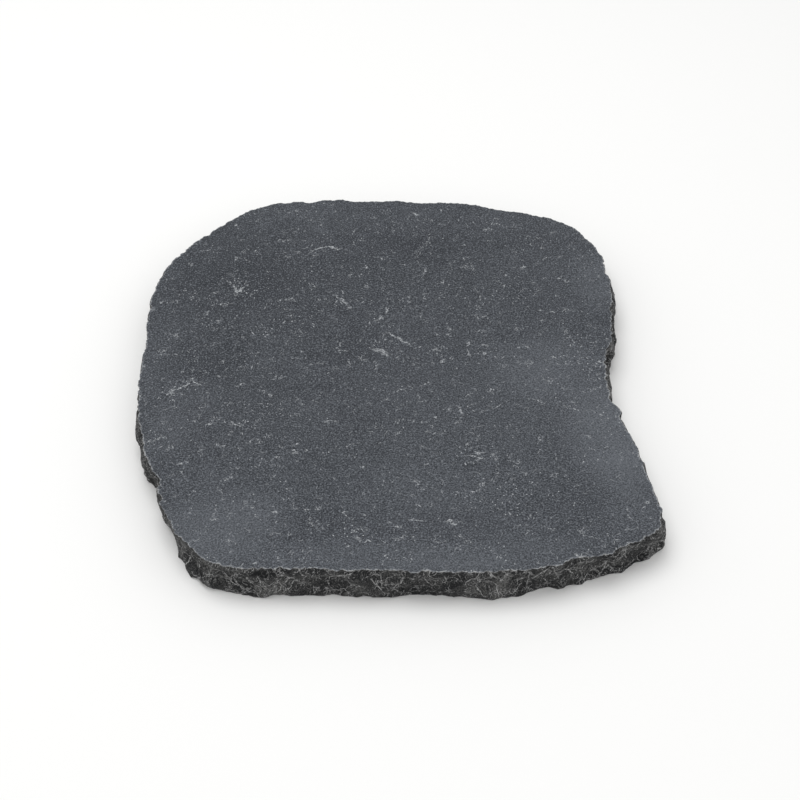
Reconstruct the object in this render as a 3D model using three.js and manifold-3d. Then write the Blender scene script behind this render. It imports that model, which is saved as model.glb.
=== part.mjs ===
// Limestone stepping stone: one slab of dark limestone, sawn flat above and below and broken to its
// outline with a hammer. Its rim is a band of shell-shaped scars that meet in sharp ridges.
// Millimetres, +Z up. The origin is on the underside, in the middle of the stone's box.

import * as THREE from "three";
import { mergeVertices } from "three/addons/utils/BufferGeometryUtils.js";
import Module from "manifold-3d";

const THICKNESS = 30;
const MERGE_DISTANCE = 1e-3; // of vertices that are one point

// The upper edge in plan, anticlockwise from the front left corner: x, y and flare, which is how far
// the foot of the rim stands out past the upper edge there.
const UPPER_EDGE = [
  [-122, -226, -3],
  [-94, -230, 2],
  [-56, -230, 0],
  [-10, -234, -2],
  [32, -233, -2],
  [74, -234, 1],
  [111, -230, -4],
  [134, -227, -4],
  [156, -215, -2],
  [180, -209, -4],
  [193, -199, -3],
  [206, -189, 1],
  [209, -177, 3],
  [204, -146, 2],
  [200, -113, 2],
  [191, -78, 3],
  [184, -50, 5],
  [182, -30, 6],
  [182, -4, 4],
  [190, 28, 3],
  [193, 60, 5],
  [197, 94, 4],
  [196, 128, 2],
  [192, 162, 0],
  [178, 187, 0],
  [163, 208, 0],
  [137, 218, 0],
  [110, 226, 0],
  [78, 236, 0],
  [30, 239, 0],
  [-30, 244, 0],
  [-84, 239, 0],
  [-115, 234, 0],
  [-142, 212, 0],
  [-171, 178, 0],
  [-193, 142, 0],
  [-203, 100, -1],
  [-204, 56, -2],
  [-202, 12, -2],
  [-201, -30, -2],
  [-194, -76, 2],
  [-183, -115, 1],
  [-170, -151, -1],
  [-166, -186, -12],
  [-152, -201, 1],
  [-141, -216, -2],
];

const COLUMN_SPACING = 12; // along the rim of the unbroken slab

// The unbroken rim from the underside up: height, share of the flare, and bulge past the upper edge.
const RIM_LEVELS = [
  { z: 0, flare: 0.9, bulge: 0 },
  { z: 5, flare: 1, bulge: 1.8 },
  { z: 15, flare: 0.8, bulge: 2.4 },
  { z: 24, flare: 0.3, bulge: 2.2 },
  { z: THICKNESS, flare: 0, bulge: 1 },
];

// The heavy blows along the front: the place of each in plan and its height, the size of the scar, how
// far it leans in the face and how far it tips out of it, in radians.
const HEAVY_BLOWS = [
  { at: [-158, -196], z: 13, width: 34, tall: 42, depth: 3.2, lean: 0.2, tip: 0.1 },
  { at: [-137, -225], z: 19, width: 22, tall: 22, depth: 3.6, lean: 0.1, tip: -0.2 },
  { at: [-112, -236], z: 22, width: 38, tall: 16, depth: 3, lean: -0.5, tip: 0.2 },
  { at: [-108, -236], z: 7, width: 40, tall: 18, depth: 3.4, lean: -0.4, tip: -0.3 },
  { at: [-66, -236], z: 12, width: 38, tall: 26, depth: 2.6, lean: 0.2, tip: 0.1 },
  { at: [-24, -236], z: 14, width: 44, tall: 22, depth: 3, lean: 0.3, tip: -0.1 },
  { at: [28, -238], z: 17, width: 28, tall: 30, depth: 2.8, lean: -0.3, tip: 0.2 },
  { at: [54, -239], z: 17, width: 26, tall: 26, depth: 3.4, lean: 0.1, tip: -0.1 },
  { at: [92, -238], z: 12, width: 34, tall: 28, depth: 3, lean: 0.5, tip: 0.2 },
  { at: [124, -231], z: 20, width: 26, tall: 24, depth: 3.2, lean: -0.3, tip: -0.2 },
  { at: [150, -223], z: 19, width: 24, tall: 24, depth: 3, lean: 0.2, tip: 0.1 },
  { at: [176, -212], z: 8, width: 44, tall: 18, depth: 3.4, lean: 0.3, tip: -0.3 },
  { at: [203, -190], z: 14, width: 28, tall: 32, depth: 3, lean: 0.2, tip: 0.1 },
];

// The other blows, in rows round the rim: how many, how finely each flake is faceted, the share of its
// half depth that is sunk in the stone, and the ranges of a scar's height and size. From first to last
// they are the broad scars, the middling ones, those along the foot and the nicks in the upper edge.
const BLOW_ROWS = [
  { count: 36, facets: 1, sunk: 0.16, z: [8, 22], width: [34, 56], tall: [28, 44], depth: [1.8, 2.8] },
  { count: 116, facets: 1, sunk: 0.32, z: [3, 27], width: [14, 30], tall: [10, 24], depth: [2.6, 4.6] },
  { count: 42, facets: 1, sunk: 0.3, z: [-2, 2], width: [14, 36], tall: [9, 18], depth: [1.6, 3.6] },
  { count: 56, facets: 0, sunk: 0.3, z: [29, 31], width: [6, 16], tall: [6, 14], depth: [1, 2] },
];
const HEAVY_FACETS = 2;
const HEAVY_SUNK = 0.3;
const MOST_LEAN = 0.6; // in the face, either way
const MOST_TIP = 0.35; // away from the face, either way
const UNEVENNESS = 0.8; // of the blows' places along a row, as a share of their spacing
const SEED = 16;

const wasm = await Module();
wasm.setup();

function solidOf(geometry) {
  const bare = geometry.clone();
  bare.deleteAttribute("normal");
  bare.deleteAttribute("uv");
  const merged = mergeVertices(bare, MERGE_DISTANCE);
  return new wasm.Manifold(
    new wasm.Mesh({
      numProp: 3,
      vertProperties: merged.attributes.position.array,
      triVerts: new Uint32Array(merged.index.array),
    }),
  );
}

function geometryOf(solid) {
  const mesh = solid.getMesh();
  const geometry = new THREE.BufferGeometry();
  geometry.setAttribute("position", new THREE.BufferAttribute(mesh.vertProperties, 3));
  geometry.setIndex(new THREE.BufferAttribute(mesh.triVerts, 1));
  return geometry;
}

// A repeatable random number from 0 to 1, by the mulberry32 method.
function randomFrom(seed) {
  let state = seed;
  return () => {
    state = (state + 0x6d2b79f5) | 0;
    let t = Math.imul(state ^ (state >>> 15), 1 | state);
    t = (t + Math.imul(t ^ (t >>> 7), 61 | t)) ^ t;
    return ((t ^ (t >>> 14)) >>> 0) / 2 ** 32;
  };
}

// The rim's columns, evenly spaced: the point on the upper edge, the way out and the flare.
function rimColumns() {
  const curve = new THREE.CatmullRomCurve3(
    UPPER_EDGE.map((p) => new THREE.Vector3(...p)),
    true,
    "centripetal",
  );
  const count = Math.round(curve.getLength() / COLUMN_SPACING);
  return Array.from({ length: count }, (_, i) => {
    const along = curve.getTangentAt(i / count);
    const at = curve.getPointAt(i / count);
    return {
      at: new THREE.Vector2(at.x, at.y),
      out: new THREE.Vector2(along.y, -along.x).normalize(),
      flare: at.z,
    };
  });
}

// How far out of the upper edge the unbroken rim stands at a column and a height.
function wallOffset(column, z) {
  const height = THREE.MathUtils.clamp(z, 0, THICKNESS);
  const above = RIM_LEVELS.findIndex((level, k) => k > 0 && level.z >= height);
  const [low, high] = [RIM_LEVELS[above - 1], RIM_LEVELS[above]];
  const offset = (level) => column.flare * level.flare + level.bulge;
  return THREE.MathUtils.mapLinear(height, low.z, high.z, offset(low), offset(high));
}

// The slab before any blow: a ring of points at each level, joined by a band, with a flat cap above
// and below.
function unbrokenSlab(columns) {
  const rings = RIM_LEVELS.map(({ z }) =>
    columns.map((c) => c.at.clone().addScaledVector(c.out, wallOffset(c, z))),
  );
  const positions = rings.flatMap((ring, k) => ring.flatMap((p) => [p.x, p.y, RIM_LEVELS[k].z]));
  const n = columns.length;
  const top = (rings.length - 1) * n;
  const index = [];
  for (let k = 0; k + 1 < rings.length; k++) {
    for (let i = 0; i < n; i++) {
      const a = k * n + i;
      const b = k * n + ((i + 1) % n);
      index.push(a, b, b + n, a, b + n, a + n);
    }
  }
  for (const [a, b, c] of THREE.ShapeUtils.triangulateShape(rings[0], [])) {
    index.push(c, b, a);
  }
  for (const [a, b, c] of THREE.ShapeUtils.triangulateShape(rings[rings.length - 1], [])) {
    index.push(top + a, top + b, top + c);
  }
  const geometry = new THREE.BufferGeometry();
  geometry.setAttribute("position", new THREE.Float32BufferAttribute(positions, 3));
  geometry.setIndex(index);
  return geometry;
}

// What one blow knocks off: a faceted ellipsoid that leaves a scar `width` by `tall` and `depth` deep.
function flake(column, blow, random) {
  const halfDepth = blow.depth / blow.sunk;
  const chord = Math.sqrt(1 - (1 - blow.sunk) ** 2); // the scar's width as a share of the ellipsoid's
  const geometry = new THREE.IcosahedronGeometry(1, blow.facets);
  geometry.rotateX(random() * Math.PI).rotateY(random() * Math.PI);
  geometry.scale(blow.width / 2 / chord, halfDepth, blow.tall / 2 / chord);
  geometry.translate(0, blow.depth - halfDepth, 0);
  const wallSlope = Math.atan(column.flare / THICKNESS);
  geometry.rotateY(blow.lean).rotateX(blow.tip - wallSlope).rotateZ(blow.turn);
  geometry.rotateZ(Math.atan2(column.out.y, column.out.x) + Math.PI / 2);
  const centre = column.at.clone().addScaledVector(column.out, wallOffset(column, blow.z));
  return geometry.translate(centre.x, centre.y, blow.z);
}

function nearestColumn(columns, place) {
  const target = new THREE.Vector2(...place);
  return columns.reduce((best, c) =>
    c.at.distanceTo(target) < best.at.distanceTo(target) ? c : best,
  );
}

function heavyFlakes(columns, random) {
  return HEAVY_BLOWS.map((heavy) => {
    const blow = { ...heavy, turn: 0, facets: HEAVY_FACETS, sunk: HEAVY_SUNK };
    return flake(nearestColumn(columns, heavy.at), blow, random);
  });
}

function rowOfFlakes(columns, row, random) {
  const within = ([low, high]) => low + (high - low) * random();
  return Array.from({ length: row.count }, (_, i) => {
    const place = Math.floor(((i + random() * UNEVENNESS) / row.count) * columns.length);
    const blow = {
      z: within(row.z),
      width: within(row.width),
      tall: within(row.tall),
      depth: within(row.depth),
      lean: within([-MOST_LEAN, MOST_LEAN]),
      tip: within([-MOST_TIP, MOST_TIP]),
      turn: within([-MOST_TIP, MOST_TIP]),
      facets: row.facets,
      sunk: row.sunk,
    };
    return flake(columns[place], blow, random);
  });
}

// The slab less every flake, moved so that the middle of its box is over the origin.
function brokenStone() {
  const random = randomFrom(SEED);
  const columns = rimColumns();
  const flakes = heavyFlakes(columns, random);
  for (const row of BLOW_ROWS) {
    flakes.push(...rowOfFlakes(columns, row, random));
  }
  let solid = solidOf(unbrokenSlab(columns));
  for (const geometry of flakes) {
    solid = solid.subtract(solidOf(geometry));
  }
  const stone = geometryOf(solid);
  stone.computeBoundingBox();
  const middle = stone.boundingBox.getCenter(new THREE.Vector3());
  return stone.translate(-middle.x, -middle.y, 0);
}

const limestone = new THREE.MeshStandardMaterial({
  name: "limestone",
  color: 0x53565b,
  roughness: 0.85,
  metalness: 0,
});

const stone = new THREE.Mesh(brokenStone(), limestone);
stone.name = "stone";

const steppingStone = new THREE.Group();
steppingStone.name = "stepping_stone";
steppingStone.add(stone);

export default steppingStone;
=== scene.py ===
"""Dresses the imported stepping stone: worn limestone faces, a hammer-broken rim and a plain stage.

Lengths inside the mesh code are millimetres, and MM turns them to Blender's metres.
"""

import math
from functools import partial
from types import SimpleNamespace

import bpy
import numpy as np
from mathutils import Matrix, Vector, noise
from mathutils.bvhtree import BVHTree
from mathutils.geometry import delaunay_2d_cdt


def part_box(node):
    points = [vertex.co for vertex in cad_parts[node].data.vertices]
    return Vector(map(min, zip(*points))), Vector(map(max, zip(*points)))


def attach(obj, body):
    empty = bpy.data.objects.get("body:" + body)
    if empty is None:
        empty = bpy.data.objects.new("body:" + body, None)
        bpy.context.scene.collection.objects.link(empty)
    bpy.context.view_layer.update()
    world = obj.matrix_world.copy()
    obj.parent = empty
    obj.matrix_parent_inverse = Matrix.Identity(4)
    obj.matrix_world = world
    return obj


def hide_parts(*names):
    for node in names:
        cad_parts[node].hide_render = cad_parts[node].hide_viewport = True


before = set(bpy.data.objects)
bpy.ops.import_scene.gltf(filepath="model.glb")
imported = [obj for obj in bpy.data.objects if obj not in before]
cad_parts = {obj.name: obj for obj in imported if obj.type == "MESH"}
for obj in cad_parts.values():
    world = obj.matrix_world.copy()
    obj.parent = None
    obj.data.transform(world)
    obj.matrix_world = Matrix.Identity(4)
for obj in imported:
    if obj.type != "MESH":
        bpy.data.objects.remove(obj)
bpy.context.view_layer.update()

bl_info = {
    "name": "Limestone stepping stone",
    "version": (1, 0, 0),
    "blender": (4, 5, 0),
    "location": "3D View > Sidebar > Stone",
    "description": "Dresses a natural stepping stone with worn faces and a hammer-broken rim",
    "category": "Add Mesh",
}

MM = 0.001

CAD_NODE = "stone"
BODY = "root"
PIECE = "limestone_slab"

# The rim is read off the CAD solid along evenly spaced stations, and every station's profile lies in
# the upright plane through its outward direction.
OUTLINE_RAYS = 2048
OUTLINE_EVENING = 12.0  # how far the outline is blurred along itself
OUTWARD_EVENING = 4  # how many stations the outward directions are blurred over
CORE_DEPTH = 14.0  # how far inside its station a profile is looked for
PROBE_HEIGHT = 10.0  # how far off a flat face its edge is looked for
FACE_CLEARANCE = 0.05
BISECTIONS = 13
EDGE_ROWS = (0.0, 0.45, 0.95, 1.55, 2.3)  # distances of the first rows from each edge
ROW_SPACING = 0.95  # between all other rows

# Places where the worn rim stands a little further out than the CAD solid, or further in: the place
# in plan and its height, how far off that fades along the rim and up it, and how far out.
SWELLS = (
    # Beside the hollow, the right side, the back and the left side.
    (184, -61, 28, 11, 50, 3.8),
    (179, -49, 28, 7, 50, -1.4),
    (194, 52, 14, 26, 30, 3.2),
    (194, 114, 26, 14, 34, 3.2),
    (168, 195, 26, 26, 34, 1.8),
    (-15, 239, 30, 24, 30, 1.4),
    (-95, 238, 30, 30, 30, 1.7),
    (-192, -114, 14, 12, 30, 2.4),
    (-186, -119, 4, 9, 24, -2.6),
    (-175, -159, 14, 14, 30, 1.6),
    # The front left corner, the foot of the front and the right corner.
    (-158, -192, 14, 22, 34, -1.4),
    (-150, -210, 6, 8, 20, 2.2),
    (-143, -219, 4, 7, 24, -2.4),
    (-132, -230, 2, 9, 14, 2.6),
    (-108, -236, 2, 14, 16, 3.0),
    (20, -236, 2, 18, 12, -1.8),
    (63, -238, 2, 14, 14, -2.8),
    (97, -236, 2, 25, 16, 4.2),
    (141, -225, 2, 11, 14, 2.2),
    (178, -209, 2, 12, 16, 3.0),
    (197, -130, 20, 12, 40, -2.0),
    # The upper edge of the front.
    (-138, -221, 30, 14, 14, -2.6),
    (-70, -236, 30, 14, 12, 1.6),
    (14, -238, 30, 16, 12, 1.8),
    (124, -230, 30, 14, 14, 2.6),
    (157, -218, 30, 22, 16, 4.0),
    (180, -208, 30, 10, 12, 1.6),
)

# Shell-shaped scars of three sizes: their spacing, depth and overlap. The finish follows the ridges
# of the two larger ones.
RIDGED_SCARS = {"nick": (9.5, 0.75, 0.8), "seam": (20.0, 1.6, 0.8)}
FINE_SCARS = (4.2, 0.32, 0.85)
HACKLES = 14.0  # lines in each radian of the fan that spreads from a blow
RIDGE_REACH = 4.0  # the furthest distance from a ridge that is told

# Rows of chips, along the upper edge (0) or the foot (1): their spacing, depth and overlap, and
# between which distances below that edge they lie.
CHIPS = (
    (0, (12.0, 2.0, 0.28), (-0.6, 0.6)),
    (0, (5.0, 1.4, 0.36), (-0.4, 0.5)),
    (0, (2.4, 0.8, 0.5), (-0.2, 0.3)),
    (1, (11.0, 0.5, 0.4), (-0.6, 0.6)),
)

# Each noise is given by how far it moves the stone and by the size of its lumps.
WAVER, WAVER_SIZE = 2.2, 7.0  # along the rim and up it, in where the scars lie
TEETH, TEETH_SIZE = 0.16, 2.4  # in and out, all over the rim
EDGE_TEETH, EDGE_TEETH_REACH = 0.22, 1.5  # what the teeth gain this near to the upper edge
WAVES, WAVES_SIZE = 0.28, 46.0  # up and down, in the faces
DIMPLES, DIMPLES_SIZE = 0.22, 11.0
UNDERSIDE_WAVES = 1.6  # how much deeper the underside's waves and dimples are
ELSEWHERE = 300.0  # a step to where a noise has other lumps

CALM_REACH = 7.0  # how near to an edge the scars are shallower
WEAR_REACH, WEAR_SIZE = 0.9, 5.0  # how far in the edge of a face is rubbed down, and its noise
DEEPEST_WEAR = 0.4

# How much of each face beside the edge is drawn finely, as shares of the way to its smooth inner ring.
STRIP_SHARES = (0.05, 0.12, 0.22, 0.36, 0.56, 1.0)
STRIP_WINDOW = 14  # how many stations to either side the inner ring clears
STRIP_EVENING = 6.0
STRIP_DEPTH = 5.0
RING_STEP = 2.2
RING_THINNING = 3
FACE_JITTER = 0.18  # this and the next are shares of the spacing of a face's points
FACE_GAP = 0.75

# The square map, in its own steps: steps to a millimetre, where each face's corner lies, and the
# strips that the rim is cut into.
MAP_SIZE = 1024.0
MAP_SCALE = {"top": 1.5, "underside": 0.9, "rim": 1.95}
MAP_MARGIN = 6.0
MAP_CORNER = {"top": (MAP_MARGIN, MAP_MARGIN), "underside": (642.0, MAP_MARGIN)}
RIM_STRIPS = 3
RIM_STRIPS_FROM = 745.0
RIM_STRIP_STEP = 72.0


def linear(colour):
    """An sRGB hex colour as linear red, green and blue."""
    parts = [int(colour[i : i + 2], 16) / 255 for i in (1, 3, 5)]
    return tuple(p / 12.92 if p <= 0.04045 else ((p + 0.055) / 1.055) ** 2.4 for p in parts)


# ---- Shape ----


def evened(values, spread):
    """Values round a closed loop, blurred along it by a Gaussian of that many steps."""
    waves = np.fft.rfftfreq(len(values))
    keep = np.exp(-2 * (math.pi * waves * spread) ** 2)
    shape = (-1,) + (1,) * (values.ndim - 1)
    return np.fft.irfft(np.fft.rfft(values, axis=0) * keep.reshape(shape), len(values), axis=0)


def eased(share):
    """A share from 0 to 1, clipped, with a gentle start and end."""
    share = np.clip(share, 0, 1)
    return share * share * (3 - 2 * share)


def rising(least, share):
    """Least where the share is 0, and 1 where it is 1."""
    return least + (1 - least) * share


def noise_at(places, size, octaves=3):
    """Fractal noise at each place, about -1 to 1, with its largest lumps of that size."""
    lumps = [noise.fractal(Vector(p) / size, 1.0, 2.0, octaves) for p in places.reshape(-1, 3)]
    return np.array(lumps).reshape(places.shape[:-1])


def rim_stations(solid, middle, spacing):
    """Evenly spaced points of the evened outline, the outward direction at each, and its length."""
    turn = np.arange(OUTLINE_RAYS) * 2 * math.pi / OUTLINE_RAYS
    rays = np.column_stack([np.cos(turn), np.sin(turn)])
    reach = np.array([solid.ray_cast(middle, Vector((x, y, 0)))[3] for x, y in rays])
    reach = evened(reach, OUTLINE_EVENING * OUTLINE_RAYS / (2 * math.pi * reach.mean()))
    outline = np.array(middle[:2]) + rays * reach[:, None]
    closed = np.vstack([outline, outline[:1]])
    walked = np.concatenate([[0], np.cumsum(np.linalg.norm(np.diff(closed, axis=0), axis=1))])
    count = RING_THINNING * round(walked[-1] / spacing / RING_THINNING)
    places = np.arange(count) * walked[-1] / count
    points = np.column_stack([np.interp(places, walked, closed[:, k]) for k in (0, 1)])
    ahead = np.roll(points, -1, axis=0) - np.roll(points, 1, axis=0)
    outward = np.column_stack([ahead[:, 1], -ahead[:, 0]])
    outward /= np.linalg.norm(outward, axis=1)[:, None]
    return points, evened(outward, OUTWARD_EVENING), walked[-1]


def face_edge(solid, point, outward, level, upward):
    """How far out from a station the flat face at that level reaches."""
    near, far = -CORE_DEPTH, CORE_DEPTH
    for _ in range(BISECTIONS):
        guess = (near + far) / 2
        start = Vector((*(point + outward * guess), level + PROBE_HEIGHT * upward))
        hit = solid.ray_cast(start, Vector((0, 0, -upward)))[0]
        if hit is not None and abs(hit.z - level) < FACE_CLEARANCE:
            near = guess
        else:
            far = guess
    return near


def rim_profiles(solid, points, outward, levels):
    """How far out the CAD rim stands, for each station and each level from the top down."""
    reach = np.zeros((len(points), len(levels)))
    for i, (point, way) in enumerate(zip(points, outward)):
        core = point - way * CORE_DEPTH
        reach[i, 0] = face_edge(solid, point, way, levels[0], 1)
        reach[i, -1] = face_edge(solid, point, way, levels[-1], -1)
        for j, level in enumerate(levels[1:-1], 1):
            hit = solid.ray_cast(Vector((*core, level)), Vector((*way, 0)))
            if hit[0] is None:
                raise RuntimeError("the rim has a gap: the CAD stone isn't closed")
            reach[i, j] = hit[3] - CORE_DEPTH
    return reach


def slab_rows(thickness):
    """Depths of the rim's rows below the top, finer beside its two edges."""
    edge = np.array(EDGE_ROWS)
    inner = thickness - 2 * edge[-1]
    steps = round(inner / ROW_SPACING)
    between = edge[-1] + inner * np.arange(1, steps) / steps
    return np.concatenate([edge, between, (thickness - edge)[::-1]])


def rim_places(points, outward, reach, levels):
    """The places of the rim's grid, from how far out each of them stands."""
    flat = points[:, None] + outward[:, None] * reach[..., None]
    return np.dstack([flat, np.tile(levels, (len(points), 1))])


def swollen(reach, places):
    """The rim with each swell added to how far out it stands."""
    for x, y, height, wide, tall, out in SWELLS:
        aside = np.hypot(places[..., 0] - x, places[..., 1] - y) / wide
        above = np.abs(places[..., 2] - height) / tall
        reach = reach + out * eased(1 - aside) * eased(1 - above)
    return reach


def scattered_scars(draw, length, height, spacing, depth, overlap, rows=None):
    """Scars of one size, thrown evenly over the rim or along given rows of it."""
    count = int(length * (height + spacing) / spacing**2) if rows is None else int(length / spacing)
    if rows is None:
        rows = (-spacing / 2, height + spacing / 2)
    for _ in range(count):
        drop = draw.uniform(*rows)
        width = spacing * overlap * draw.uniform(0.7, 1.6)
        tall = spacing * overlap * draw.uniform(0.5, 1.1)
        place = draw.uniform(0, length)
        deep = depth * draw.uniform(0.5, 1.3)
        lean = draw.uniform(-0.9, 0.9)
        rough = draw.uniform(0, 1)
        yield place, drop, width, tall, deep, lean, rough, draw.choice((-1, 1))


def scar_field(along, down, length, scars):
    """Overlapping shell-shaped scars, point by point, as four grids.

    They are the depth, a lead that changes sign at the ridge between a scar struck from above and one
    struck from below, the roughness of the point's own scar, and its place on the fan of hackle lines
    that spreads from the blow: its turn, in lines, and its distance.
    """
    depth = np.zeros_like(along)
    by_side = {1: np.full_like(along, -1.0), -1: np.full_like(along, -1.5)}
    torn = np.full_like(along, 0.5)
    fan = np.stack([along, down])
    count = len(along)
    for place, drop, width, tall, deep, lean, rough, side in scars:
        span = int(max(width, tall) * count / length) + 4
        centre = int(place * count / length)
        rows = np.arange(centre - span, centre + span + 1) % count
        across = (along[rows] - place + length / 2) % length - length / 2
        fall = down[rows] - drop
        turned = across * math.cos(lean) + fall * math.sin(lean)
        raised = fall * math.cos(lean) - across * math.sin(lean)
        bowl = deep * (1 - (turned / width) ** 2 - (raised / tall) ** 2)
        wins = bowl > depth[rows]
        ahead = side * raised + tall
        own_lines = rough * 100
        turn = np.arctan2(turned, ahead) * HACKLES + own_lines
        torn[rows] = np.where(wins, rough, torn[rows])
        fan[0, rows] = np.where(wins, turn, fan[0, rows])
        fan[1, rows] = np.where(wins, np.hypot(turned, ahead), fan[1, rows])
        depth[rows] = np.maximum(depth[rows], bowl)
        by_side[side][rows] = np.maximum(by_side[side][rows], bowl)
    return depth, by_side[1] - by_side[-1], torn, fan


def ridge_distance(lead, step, drops):
    """How many millimetres each point is from where the lead changes sign, with the lead's own sign."""
    beside = (np.roll(lead, -1, axis=0) - np.roll(lead, 1, axis=0)) / (2 * step)
    slope = np.hypot(beside, np.gradient(lead, drops, axis=1))
    return np.clip(lead / (slope + 0.001), -RIDGE_REACH, RIDGE_REACH)


def ridge_height(reach):
    """How far each point of the rim stands out from the mean of those round it."""
    soft = reach
    for _ in range(2):
        beside = (np.roll(soft, 1, axis=0) + np.roll(soft, -1, axis=0)) / 2
        padded = np.pad(soft, ((0, 0), (1, 1)), mode="edge")
        above = (padded[:, :-2] + padded[:, 2:]) / 2
        soft = (soft + beside + above) / 3
    return reach - soft


def broken_rim(shape, solid, low, high):
    """The rim's grid, struck with scars and chips: its wall, and what its finish follows."""
    draw = np.random.default_rng(shape.seed)
    points, outward, length = rim_stations(solid, Vector((low + high) / 2), shape.rim_spacing / MM)
    drops = slab_rows(high[2] - low[2])
    levels = high[2] - drops
    reach = rim_profiles(solid, points, outward, levels)

    count = len(points)
    thickness = drops[-1]
    along = np.repeat((np.arange(count) * length / count)[:, None], len(drops), axis=1)
    down = np.repeat(drops[None, :], count, axis=0)
    places = rim_places(points, outward, reach, levels)
    reach = swollen(reach, places)
    bent_along = along + WAVER * noise_at(places, WAVER_SIZE)
    bent_down = down + WAVER * noise_at(places + ELSEWHERE, WAVER_SIZE)
    grain = noise_at(places + 2 * ELSEWHERE, TEETH_SIZE)
    # Scars are shallower near an edge, and chips are shallower where the rim doesn't look to the front.
    calm = rising(0.15, np.clip(np.minimum(down, thickness - down) / CALM_REACH, 0, 1))
    front = np.clip((0.2 - outward[:, 1]) / 0.9, 0, 1)[:, None]

    def struck(down, size, share, rows=None):
        """Strikes one size of scar, that share of its depth, all over the rim or along some rows."""
        spacing, depth, overlap = size
        scars = scattered_scars(draw, length, thickness, spacing, depth * share, overlap, rows)
        return scar_field(bent_along, down, length, scars)

    coarse = np.zeros_like(reach)
    finish = {}
    for name, size in RIDGED_SCARS.items():
        field, lead, torn, fan = struck(bent_down, size, shape.scar_depth)
        finish[name] = ridge_distance(lead, length / count, drops)
        coarse += (field - field.mean()) * calm
    fine = struck(bent_down, FINE_SCARS, shape.scar_depth)[0]
    teeth = TEETH + EDGE_TEETH * np.exp(-down / EDGE_TEETH_REACH)
    fine = (fine - fine.mean()) * rising(0.4, calm) + teeth * grain * shape.scar_depth

    edge = np.zeros_like(reach)
    for at_foot, size, below in CHIPS:
        rows = [at_foot * thickness + distance for distance in below]
        edge = np.maximum(edge, struck(down, size, shape.chip_depth, rows)[0])
    edge *= rising(0.6, front)
    finish.update(crest=ridge_height(reach), torn=torn, fan_turn=fan[0], fan_reach=fan[1], way=along)
    reach = reach - coarse - fine - edge
    wall = rim_places(points, outward, reach, levels)
    return SimpleNamespace(
        points=points, outward=outward, length=length, drops=drops, reach=reach, wall=wall, finish=finish
    )


class SlabMesh:
    """The slab's mesh as it grows: points with their distance from an edge, and each part's faces."""

    def __init__(self):
        self.places, self.gaps, self.faces = [], [], []

    def add_points(self, places, gaps):
        """Adds points and returns their numbers."""
        first = sum(len(block) for block in self.places)
        self.places.append(places)
        self.gaps.append(gaps)
        return np.arange(first, first + len(places))

    def add_faces(self, part, corners):
        """Adds faces of one part. Those of the underside are turned over, to look down."""
        self.faces.append((part, corners[:, ::-1] if part == "underside" else corners))


def grid_faces(numbers):
    """Four-sided faces between neighbours of a grid that closes on itself, each column one ring."""
    after = np.roll(numbers, -1, axis=0)
    corners = [numbers[:, 1:], after[:, 1:], after[:, :-1], numbers[:, :-1]]
    return np.stack(corners, axis=2).reshape(-1, 4)


def zipped_rings(fine, coarse):
    """Triangles between a ring and the one inside it, which has a third as many points."""
    first, second, third = fine[0::3], fine[1::3], fine[2::3]
    last = np.roll(first, -1)
    following = np.roll(coarse, -1)
    triangles = (
        (first, second, coarse),
        (second, following, coarse),
        (second, third, following),
        (third, last, following),
    )
    return np.vstack([np.column_stack(corners) for corners in triangles])


def filled_ring(ring, spacing, draw):
    """Points inside a closed ring, and triangles over the ring's points followed by them."""
    low, high = ring.min(axis=0), ring.max(axis=0)
    grid = []
    for k, y in enumerate(np.arange(low[1], high[1], spacing * math.sqrt(3) / 2)):
        xs = np.arange(low[0] + (k % 2) * spacing / 2, high[0], spacing)
        grid.append(np.column_stack([xs, np.full_like(xs, y)]))
    grid = np.vstack(grid)
    grid += draw.uniform(-FACE_JITTER, FACE_JITTER, grid.shape) * spacing
    middle = (low + high) / 2
    out, spoke = ring - middle, grid - middle
    turn, reach = np.arctan2(out[:, 1], out[:, 0]), np.linalg.norm(out, axis=1)
    limit = np.interp(np.arctan2(spoke[:, 1], spoke[:, 0]), turn, reach, period=2 * math.pi)
    inside = grid[np.linalg.norm(spoke, axis=1) < limit - FACE_GAP * spacing]
    points = [Vector(p) for p in np.vstack([ring, inside])]
    edges = [(i, (i + 1) % len(ring)) for i in range(len(ring))]
    made = delaunay_2d_cdt(points, edges, [], 1, 1e-6)
    if len(made[0]) != len(points):
        raise RuntimeError("the face could not be filled inside its edge")
    own_number = np.array([ids[0] for ids in made[3]])
    triangles = own_number[np.array(made[2])]
    corners = np.array(points)[triangles]
    first, second = corners[:, 1] - corners[:, 0], corners[:, 2] - corners[:, 0]
    turned = first[:, 0] * second[:, 1] - first[:, 1] * second[:, 0] < 0
    triangles[turned] = triangles[turned][:, ::-1]
    return inside, triangles


def inner_ring(edge):
    """How far out the smooth ring that follows an edge from inside it stands, for each station."""
    inner = edge.copy()
    for step in range(1, STRIP_WINDOW):
        inner = np.minimum(inner, np.minimum(np.roll(edge, step), np.roll(edge, -step)))
    return evened(inner, STRIP_EVENING) - STRIP_DEPTH


def at_level(points, level):
    """Points of the plan, set at that height."""
    return np.column_stack([points, np.full(len(points), level)])


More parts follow.
